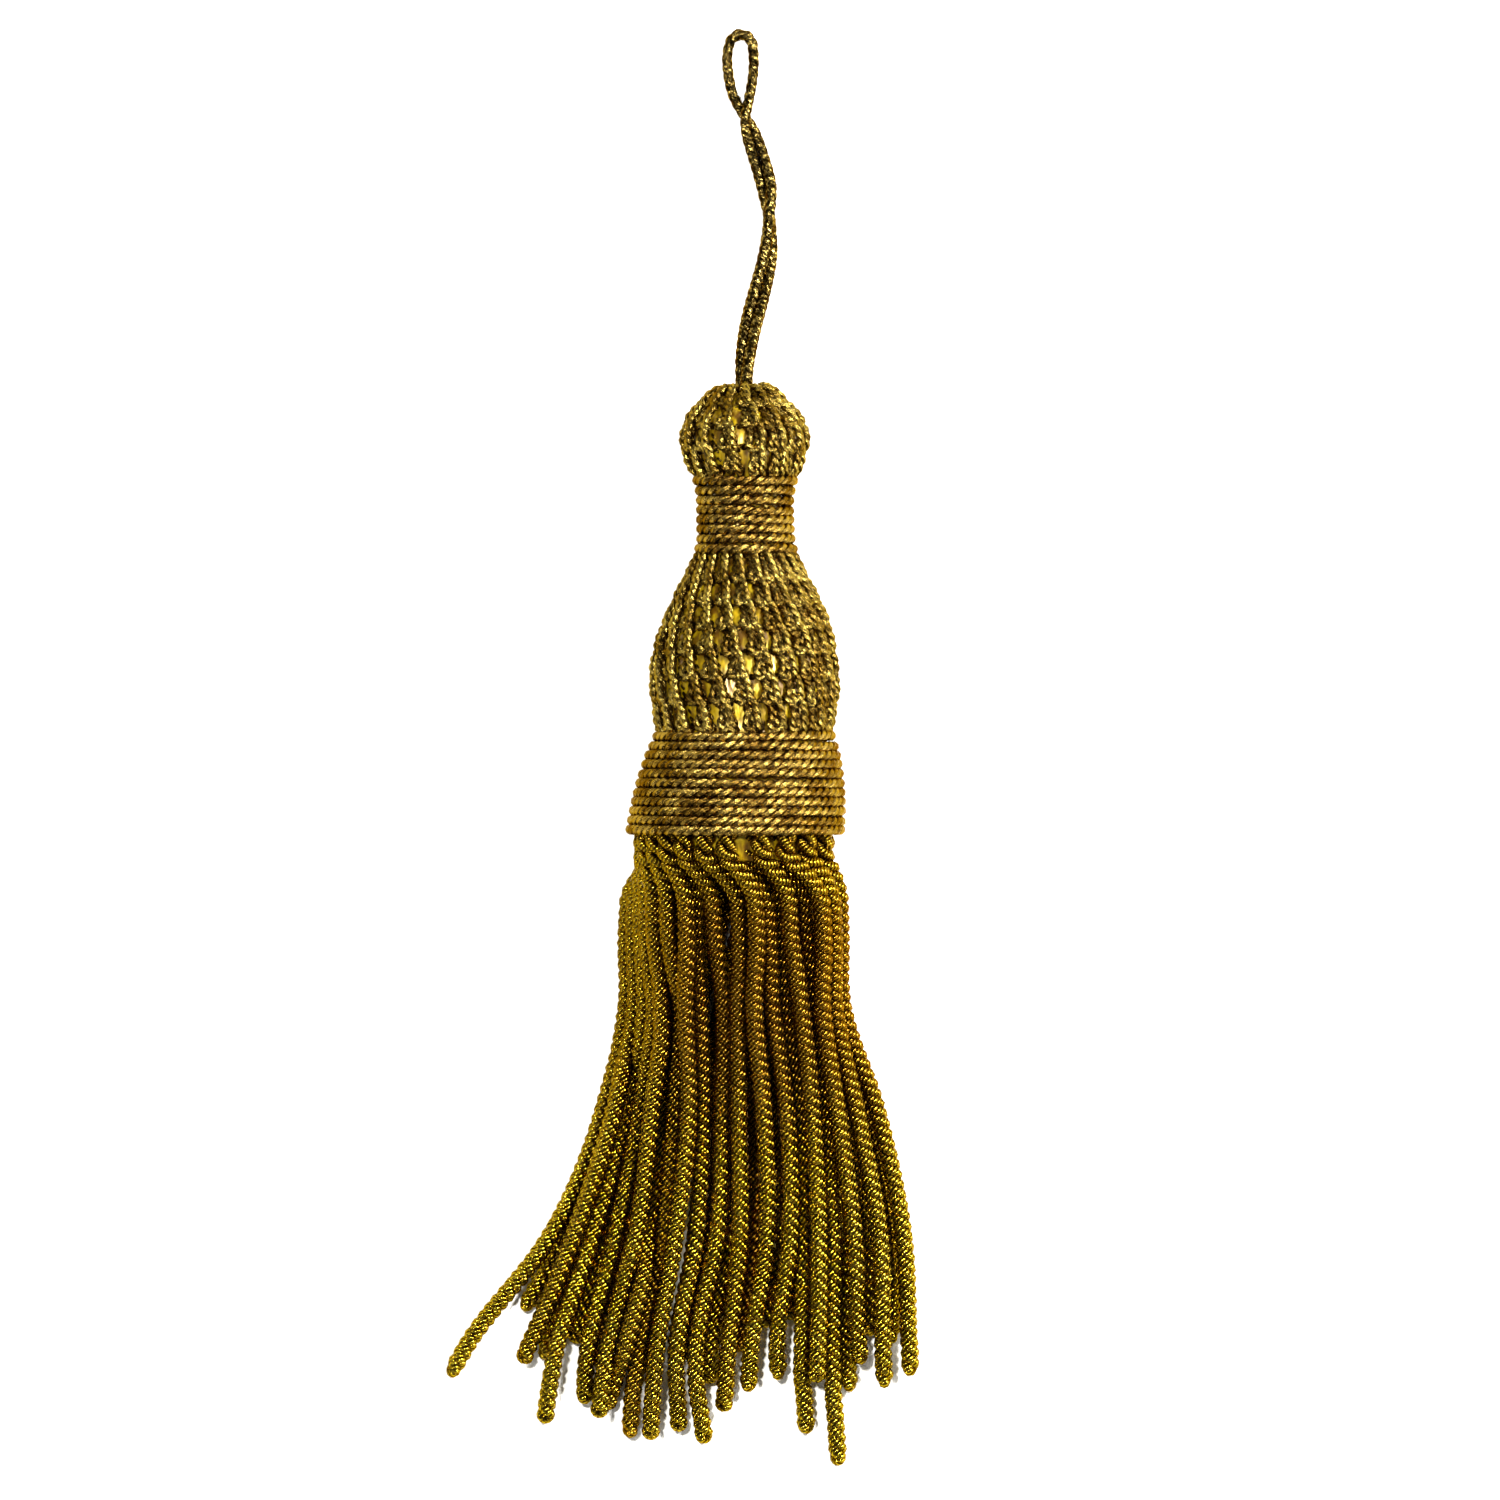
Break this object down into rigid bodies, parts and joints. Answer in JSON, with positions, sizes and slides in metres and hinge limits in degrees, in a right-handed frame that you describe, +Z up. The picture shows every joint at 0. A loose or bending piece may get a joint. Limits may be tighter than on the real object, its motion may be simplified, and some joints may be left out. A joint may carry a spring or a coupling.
{
  "type": "bullion tassel",
  "caption": "Netted and cord-wound tassel head with a splayed skirt of twisted bullion strands and a doubled hanging cord with an eye.",
  "frame": {"origin": "the surface that the tassel lies on, under the middle of the tassel without its hanging cord", "axes": "+Y towards the hanging cord's eye, -Y towards the skirt's tips, +X to the right seen from above, +Z up from the surface"},
  "size_m": [0.0587, 0.1802, 0.027],
  "materials": {
    "satin": "shiny yellow satin over the mould",
    "net_thread": "metallised two-ply gold thread, looped into a net",
    "wound_cord": "metallised two-ply gold cord, wound close",
    "bullion": "bright gold bullion, coiled gimp twisted in pairs",
    "gimp_cord": "glittering gold gimp cord"
  },
  "bodies": {
    "root": {"mould_core": "satin", "knob_net": "net_thread", "neck_winding": "wound_cord", "belly_net": "net_thread", "collar_winding": "wound_cord", "bullion_skirt": "bullion", "hanging_cord": "gimp_cord"}
  },
  "joints": []
}
